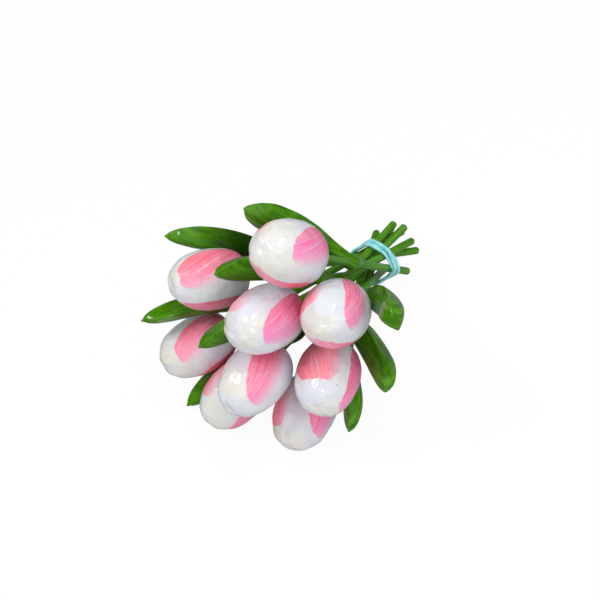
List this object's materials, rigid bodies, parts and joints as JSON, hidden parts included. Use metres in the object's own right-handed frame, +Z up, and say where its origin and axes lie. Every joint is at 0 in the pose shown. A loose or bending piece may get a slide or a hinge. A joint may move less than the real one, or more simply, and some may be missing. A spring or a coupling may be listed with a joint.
{
  "type": "wooden tulip bunch",
  "caption": "Bunch of painted wooden tulips with turned egg-shaped heads, dowel stems and thick carved leaves, tied at the waist with a wound rubber band.",
  "frame": {"origin": "on the table, under the middle of the bunch", "axes": "+Z up, heads towards -Y, stem ends towards +Y, +X to the right when seen from the heads"},
  "size_m": [0.1774, 0.2118, 0.1666],
  "materials": {
    "petal_paint": "gloss paint, white with pink petals",
    "stem_paint": "gloss green paint",
    "leaf_paint": "gloss green paint",
    "band_rubber": "satin"
  },
  "bodies": {
    "band": {"rubber_band": "band_rubber"},
    "tulip_1": {"head_1": "petal_paint", "stem_1": "stem_paint", "leaf_1": "leaf_paint"},
    "tulip_2": {"head_2": "petal_paint", "stem_2": "stem_paint", "leaf_2": "leaf_paint"},
    "tulip_3": {"head_3": "petal_paint", "stem_3": "stem_paint", "leaf_3": "leaf_paint"},
    "tulip_4": {"head_4": "petal_paint", "stem_4": "stem_paint", "leaf_4": "leaf_paint"},
    "tulip_5": {"head_5": "petal_paint", "stem_5": "stem_paint", "leaf_5": "leaf_paint"},
    "tulip_6": {"head_6": "petal_paint", "stem_6": "stem_paint", "leaf_6": "leaf_paint"},
    "tulip_7": {"head_7": "petal_paint", "stem_7": "stem_paint", "leaf_7": "leaf_paint"},
    "tulip_8": {"head_8": "petal_paint", "stem_8": "stem_paint", "leaf_8": "leaf_paint"},
    "tulip_9": {"head_9": "petal_paint", "stem_9": "stem_paint", "leaf_9": "leaf_paint"}
  },
  "joints": [
    {"name": "tulip_1_slide", "type": "slide", "parent": "band", "child": "tulip_1", "axis": [-0.0271, -0.6642, 0.747], "range_m": [0, 0.026]},
    {"name": "tulip_2_slide", "type": "slide", "parent": "band", "child": "tulip_2", "axis": [-0.4238, -0.7954, 0.4333], "range_m": [0, 0.04]},
    {"name": "tulip_3_slide", "type": "slide", "parent": "band", "child": "tulip_3", "axis": [-0.4362, -0.8997, 0.0163], "range_m": [0, 0.033]},
    {"name": "tulip_4_slide", "type": "slide", "parent": "band", "child": "tulip_4", "axis": [-0.0651, -0.8984, 0.4343], "range_m": [0, 0.034]},
    {"name": "tulip_5_slide", "type": "slide", "parent": "band", "child": "tulip_5", "axis": [0.2771, -0.7296, 0.6252], "range_m": [0, 0.036]},
    {"name": "tulip_6_slide", "type": "slide", "parent": "band", "child": "tulip_6", "axis": [-0.0182, -0.9931, 0.116], "range_m": [0, 0.026]},
    {"name": "tulip_7_slide", "type": "slide", "parent": "band", "child": "tulip_7", "axis": [0.3387, -0.9097, 0.2402], "range_m": [0, 0.044]},
    {"name": "tulip_8_slide", "type": "slide", "parent": "band", "child": "tulip_8", "axis": [-0.2398, -0.9626, -0.1264], "range_m": [0, 0.027]},
    {"name": "tulip_9_slide", "type": "slide", "parent": "band", "child": "tulip_9", "axis": [0.1514, -0.9874, -0.0462], "range_m": [0, 0.048]}
  ]
}
